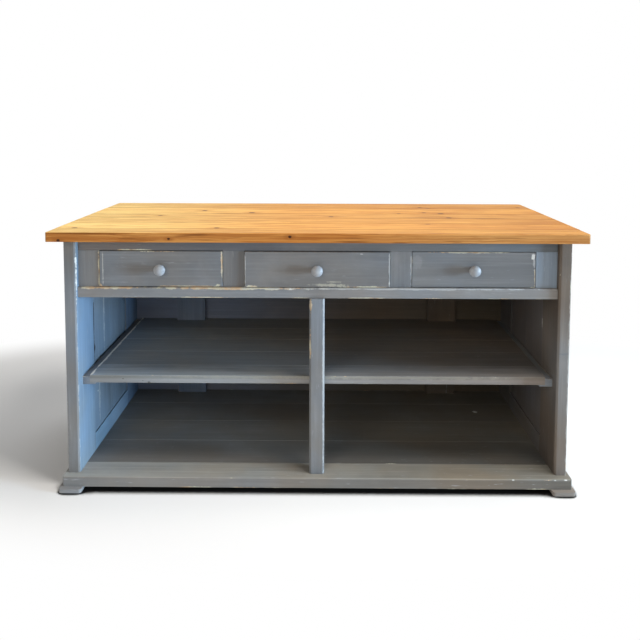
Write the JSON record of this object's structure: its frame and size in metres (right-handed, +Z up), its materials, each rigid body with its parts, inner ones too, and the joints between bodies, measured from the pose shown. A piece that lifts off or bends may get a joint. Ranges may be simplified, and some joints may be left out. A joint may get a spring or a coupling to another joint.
{
  "type": "kitchen island unit",
  "caption": "Freestanding painted pine kitchen island with a waxed board top, a row of inset drawers and open shelf bays.",
  "frame": {"origin": "on the floor, under the middle of the worktop", "axes": "+Z up, +X along the island to the right as seen from the drawer side, drawers open towards -Y"},
  "size_m": [1.808, 0.75, 0.9],
  "materials": {
    "worktop_pine": "honey waxed pine with knots, satin",
    "worn_grey_paint": "brushed chalky grey paint over pine, worn through at the edges",
    "knob_paint": "lighter grey eggshell paint on turned wood",
    "bare_pine": "bare sawn pine, matt",
    "nail_steel": "dull steel"
  },
  "bodies": {
    "carcass": {"back_battens": "worn_grey_paint", "back_boards": "worn_grey_paint", "back_nails": "nail_steel", "back_top_rail": "bare_pine", "base_boards": "worn_grey_paint", "base_front_board": "worn_grey_paint", "centre_post": "worn_grey_paint", "drawer_guides": "bare_pine", "drawer_rail": "worn_grey_paint", "drawer_rail_back": "bare_pine", "drawer_runners": "bare_pine", "drawer_stops": "bare_pine", "end_left_back_post": "worn_grey_paint", "end_left_bottom_rail": "worn_grey_paint", "end_left_front_post": "worn_grey_paint", "end_left_panel": "worn_grey_paint", "end_left_top_rail": "worn_grey_paint", "end_right_back_post": "worn_grey_paint", "end_right_bottom_rail": "worn_grey_paint", "end_right_front_post": "worn_grey_paint", "end_right_panel": "worn_grey_paint", "end_right_top_rail": "worn_grey_paint", "foot_back_left": "worn_grey_paint", "foot_back_right": "worn_grey_paint", "foot_front_left": "worn_grey_paint", "foot_front_right": "worn_grey_paint", "frieze_stile_1": "worn_grey_paint", "frieze_stile_2": "worn_grey_paint", "frieze_stile_3": "worn_grey_paint", "frieze_stile_4": "worn_grey_paint", "frieze_top_rail": "worn_grey_paint", "shelf_bearer": "worn_grey_paint", "shelf_boards": "worn_grey_paint", "shelf_cleats": "worn_grey_paint", "shelf_end_strips": "worn_grey_paint", "worktop_board_1": "worktop_pine", "worktop_board_2": "worktop_pine", "worktop_board_3": "worktop_pine", "worktop_board_4": "worktop_pine", "worktop_board_5": "worktop_pine", "worktop_board_6": "worktop_pine", "worktop_cleats": "bare_pine"},
    "drawer_left": {"drawer_left_back": "bare_pine", "drawer_left_bottom": "bare_pine", "drawer_left_front": "worn_grey_paint", "drawer_left_knob": "knob_paint", "drawer_left_side_left": "bare_pine", "drawer_left_side_right": "bare_pine"},
    "drawer_middle": {"drawer_middle_back": "bare_pine", "drawer_middle_bottom": "bare_pine", "drawer_middle_front": "worn_grey_paint", "drawer_middle_knob": "knob_paint", "drawer_middle_side_left": "bare_pine", "drawer_middle_side_right": "bare_pine"},
    "drawer_right": {"drawer_right_back": "bare_pine", "drawer_right_bottom": "bare_pine", "drawer_right_front": "worn_grey_paint", "drawer_right_knob": "knob_paint", "drawer_right_side_left": "bare_pine", "drawer_right_side_right": "bare_pine"}
  },
  "joints": [
    {"name": "drawer_left_slide", "type": "slide", "parent": "carcass", "child": "drawer_left", "axis": [0, -1, 0], "range_m": [-0.004, 0.42]},
    {"name": "drawer_middle_slide", "type": "slide", "parent": "carcass", "child": "drawer_middle", "axis": [0, -1, 0], "range_m": [-0.008, 0.42]},
    {"name": "drawer_right_slide", "type": "slide", "parent": "carcass", "child": "drawer_right", "axis": [0, -1, 0], "range_m": [0, 0.42]}
  ]
}
